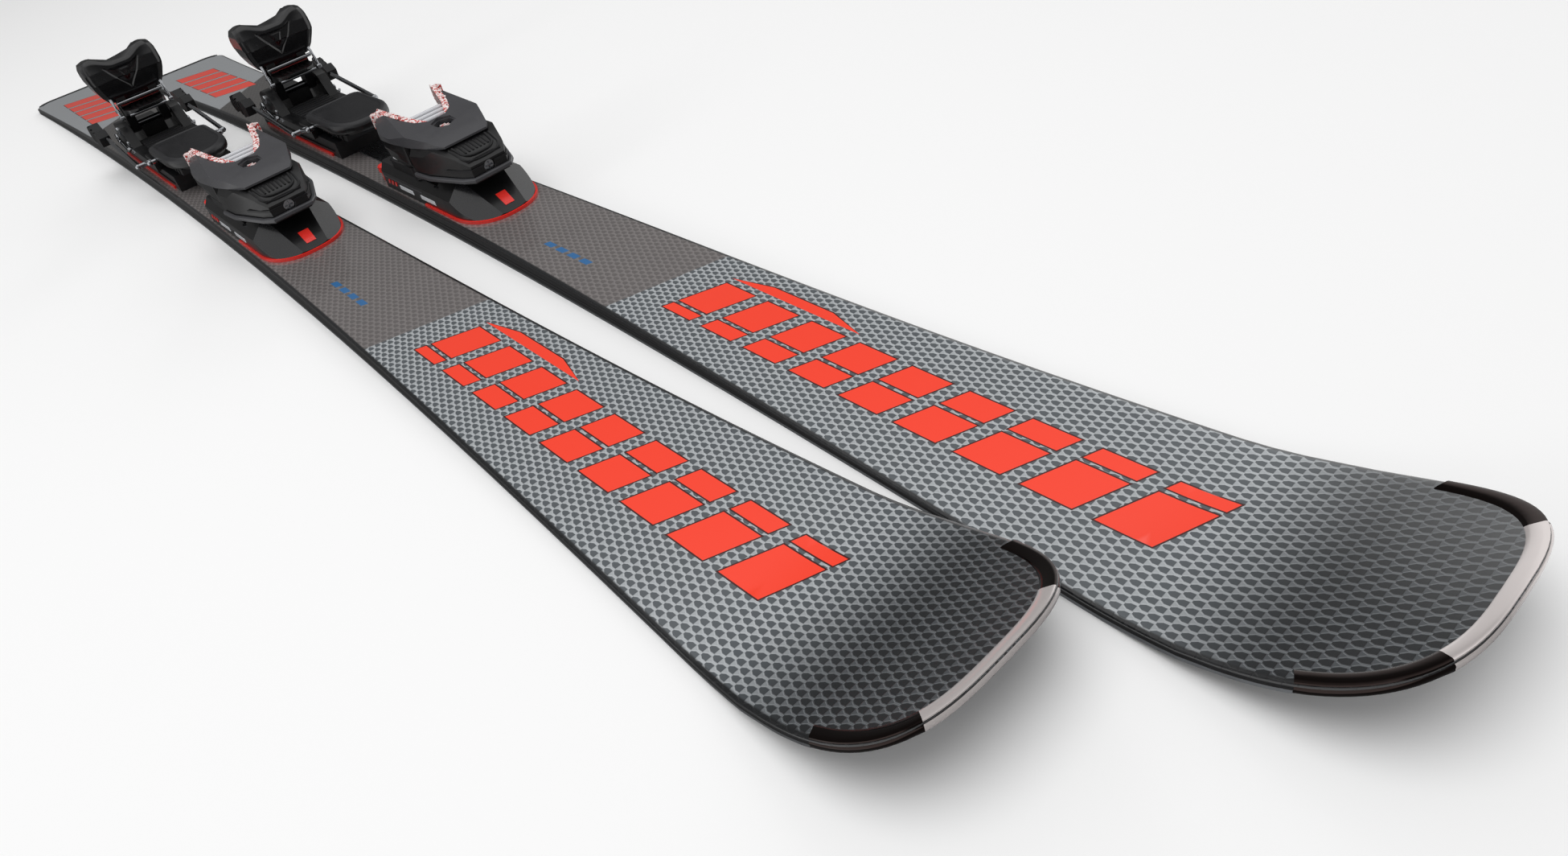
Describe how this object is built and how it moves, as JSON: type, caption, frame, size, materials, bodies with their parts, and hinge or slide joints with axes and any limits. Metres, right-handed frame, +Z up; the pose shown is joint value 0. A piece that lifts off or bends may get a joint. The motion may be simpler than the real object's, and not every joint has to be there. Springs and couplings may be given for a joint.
{
  "type": "alpine ski pair with bindings",
  "caption": "Pair of shaped alpine skis with releasable toe and heel bindings and ski brakes.",
  "frame": {"origin": "centre of the pair's bounding box, on the plane that both running bases rest on", "axes": "+X towards the ski tips, +Y towards the left ski, +Z up"},
  "size_m": [1.8016, 0.2586, 0.1335],
  "materials": {
    "running_base": "sintered, waxed",
    "steel_edge": "ground",
    "core_wood": "raw",
    "sidewall": "satin",
    "topsheet": "gloss lacquer over print",
    "tip_metal": "polished",
    "tail_black": "satin",
    "binding_black": "semi gloss",
    "plate_black": "satin",
    "charcoal": "satin",
    "signal_red": "gloss",
    "strip_steel": "brushed",
    "screw_steel": "zinc plated",
    "pin_steel": "polished",
    "spring_steel": "oiled",
    "adjuster_alloy": "turned",
    "pad_white": "low friction",
    "pedal_dark": "satin",
    "wire_steel": "bright drawn",
    "brake_black": "satin"
  },
  "bodies": {
    "left_ski": {"left_base": "running_base", "left_edges": "steel_edge", "left_core": "core_wood", "left_sidewalls": "sidewall", "left_topsheet": "topsheet", "left_tip_guard": "tip_metal", "left_tail_guard": "tail_black", "left_toe_plate": "plate_black", "left_heel_track": "plate_black", "left_plate_trim": "signal_red", "left_rail_strip": "strip_steel", "left_plate_screws": "screw_steel", "left_toe_carriage": "plate_black", "left_toe_housing": "binding_black", "left_toe_cover": "charcoal", "left_toe_pins": "pin_steel", "left_toe_spring": "spring_steel"},
    "left_wing_left": {"left_toe_wing_left": "binding_black"},
    "left_wing_right": {"left_toe_wing_right": "binding_black"},
    "left_toe_screw": {"left_toe_adjuster": "adjuster_alloy"},
    "left_afd": {"left_afd_pad": "pad_white"},
    "left_heel": {"left_heel_carriage": "plate_black", "left_heel_pin": "pin_steel", "left_heel_spring": "spring_steel"},
    "left_cup": {"left_heel_cup": "binding_black"},
    "left_lever": {"left_heel_lever": "binding_black"},
    "left_heel_screw": {"left_heel_adjuster": "adjuster_alloy"},
    "left_brake": {"left_brake_pedal": "pedal_dark", "left_brake_wire": "wire_steel", "left_brake_feet": "brake_black"},
    "right_ski": {"right_base": "running_base", "right_edges": "steel_edge", "right_core": "core_wood", "right_sidewalls": "sidewall", "right_topsheet": "topsheet", "right_tip_guard": "tip_metal", "right_tail_guard": "tail_black", "right_toe_plate": "plate_black", "right_heel_track": "plate_black", "right_plate_trim": "signal_red", "right_rail_strip": "strip_steel", "right_plate_screws": "screw_steel", "right_toe_carriage": "plate_black", "right_toe_housing": "binding_black", "right_toe_cover": "charcoal", "right_toe_pins": "pin_steel", "right_toe_spring": "spring_steel"},
    "right_wing_left": {"right_toe_wing_left": "binding_black"},
    "right_wing_right": {"right_toe_wing_right": "binding_black"},
    "right_toe_screw": {"right_toe_adjuster": "adjuster_alloy"},
    "right_afd": {"right_afd_pad": "pad_white"},
    "right_heel": {"right_heel_carriage": "plate_black", "right_heel_pin": "pin_steel", "right_heel_spring": "spring_steel"},
    "right_cup": {"right_heel_cup": "binding_black"},
    "right_lever": {"right_heel_lever": "binding_black"},
    "right_heel_screw": {"right_heel_adjuster": "adjuster_alloy"},
    "right_brake": {"right_brake_pedal": "pedal_dark", "right_brake_wire": "wire_steel", "right_brake_feet": "brake_black"}
  },
  "joints": [
    {"name": "left_wing_left_open", "type": "hinge", "parent": "left_ski", "child": "left_wing_left", "pos_m": [0.0856, 0.08784, 0.0575], "axis": [0, 0, -1], "range_deg": [0, 28], "stiffness_Nm_per_rad": 4},
    {"name": "left_wing_right_open", "type": "hinge", "parent": "left_ski", "child": "left_wing_right", "pos_m": [0.0856, 0.03984, 0.0575], "axis": [0, 0, 1], "range_deg": [0, 28], "stiffness_Nm_per_rad": 4},
    {"name": "left_toe_screw_turn", "type": "hinge", "parent": "left_ski", "child": "left_toe_screw", "pos_m": [0.1656, 0.06384, 0.0535], "axis": [1, 0, 0], "continuous": true},
    {"name": "left_afd_slide", "type": "slide", "parent": "left_ski", "child": "left_afd", "axis": [0, 1, 0], "range_m": [-0.006, 0.006], "stiffness_N_per_m": 1500},
    {"name": "left_heel_slide", "type": "slide", "parent": "left_ski", "child": "left_heel", "axis": [1, 0, 0], "range_m": [-0.02, 0.02]},
    {"name": "left_cup_close", "type": "hinge", "parent": "left_heel", "child": "left_cup", "pos_m": [-0.2644, 0.06384, 0.0545], "axis": [0, 1, 0], "range_deg": [0, 34]},
    {"name": "left_lever_press", "type": "hinge", "parent": "left_cup", "child": "left_lever", "pos_m": [-0.2594, 0.06384, 0.0945], "axis": [0, -1, 0], "range_deg": [0, 20], "stiffness_Nm_per_rad": 2},
    {"name": "left_heel_screw_turn", "type": "hinge", "parent": "left_heel", "child": "left_heel_screw", "pos_m": [-0.3044, 0.06384, 0.043], "axis": [-1, 0, 0], "continuous": true},
    {"name": "left_brake_swing", "type": "hinge", "parent": "left_heel", "child": "left_brake", "pos_m": [-0.1684, 0.06384, 0.0377], "axis": [0, -1, 0], "range_deg": [0, 50]},
    {"name": "right_wing_left_open", "type": "hinge", "parent": "right_ski", "child": "right_wing_left", "pos_m": [-0.0344, -0.03984, 0.0575], "axis": [0, 0, -1], "range_deg": [0, 28], "stiffness_Nm_per_rad": 4},
    {"name": "right_wing_right_open", "type": "hinge", "parent": "right_ski", "child": "right_wing_right", "pos_m": [-0.0344, -0.08784, 0.0575], "axis": [0, 0, 1], "range_deg": [0, 28], "stiffness_Nm_per_rad": 4},
    {"name": "right_toe_screw_turn", "type": "hinge", "parent": "right_ski", "child": "right_toe_screw", "pos_m": [0.0456, -0.06384, 0.0535], "axis": [1, 0, 0], "continuous": true},
    {"name": "right_afd_slide", "type": "slide", "parent": "right_ski", "child": "right_afd", "axis": [0, 1, 0], "range_m": [-0.006, 0.006], "stiffness_N_per_m": 1500},
    {"name": "right_heel_slide", "type": "slide", "parent": "right_ski", "child": "right_heel", "axis": [1, 0, 0], "range_m": [-0.02, 0.02]},
    {"name": "right_cup_close", "type": "hinge", "parent": "right_heel", "child": "right_cup", "pos_m": [-0.3844, -0.06384, 0.0545], "axis": [0, 1, 0], "range_deg": [0, 34]},
    {"name": "right_lever_press", "type": "hinge", "parent": "right_cup", "child": "right_lever", "pos_m": [-0.3794, -0.06384, 0.0945], "axis": [0, -1, 0], "range_deg": [0, 20], "stiffness_Nm_per_rad": 2},
    {"name": "right_heel_screw_turn", "type": "hinge", "parent": "right_heel", "child": "right_heel_screw", "pos_m": [-0.4244, -0.06384, 0.043], "axis": [-1, 0, 0], "continuous": true},
    {"name": "right_brake_swing", "type": "hinge", "parent": "right_heel", "child": "right_brake", "pos_m": [-0.2884, -0.06384, 0.0377], "axis": [0, -1, 0], "range_deg": [0, 50]},
    {"name": "left_ski_lift", "type": "slide", "parent": "right_ski", "child": "left_ski", "axis": [0, 0, 1], "range_m": [0, 0.25]}
  ]
}
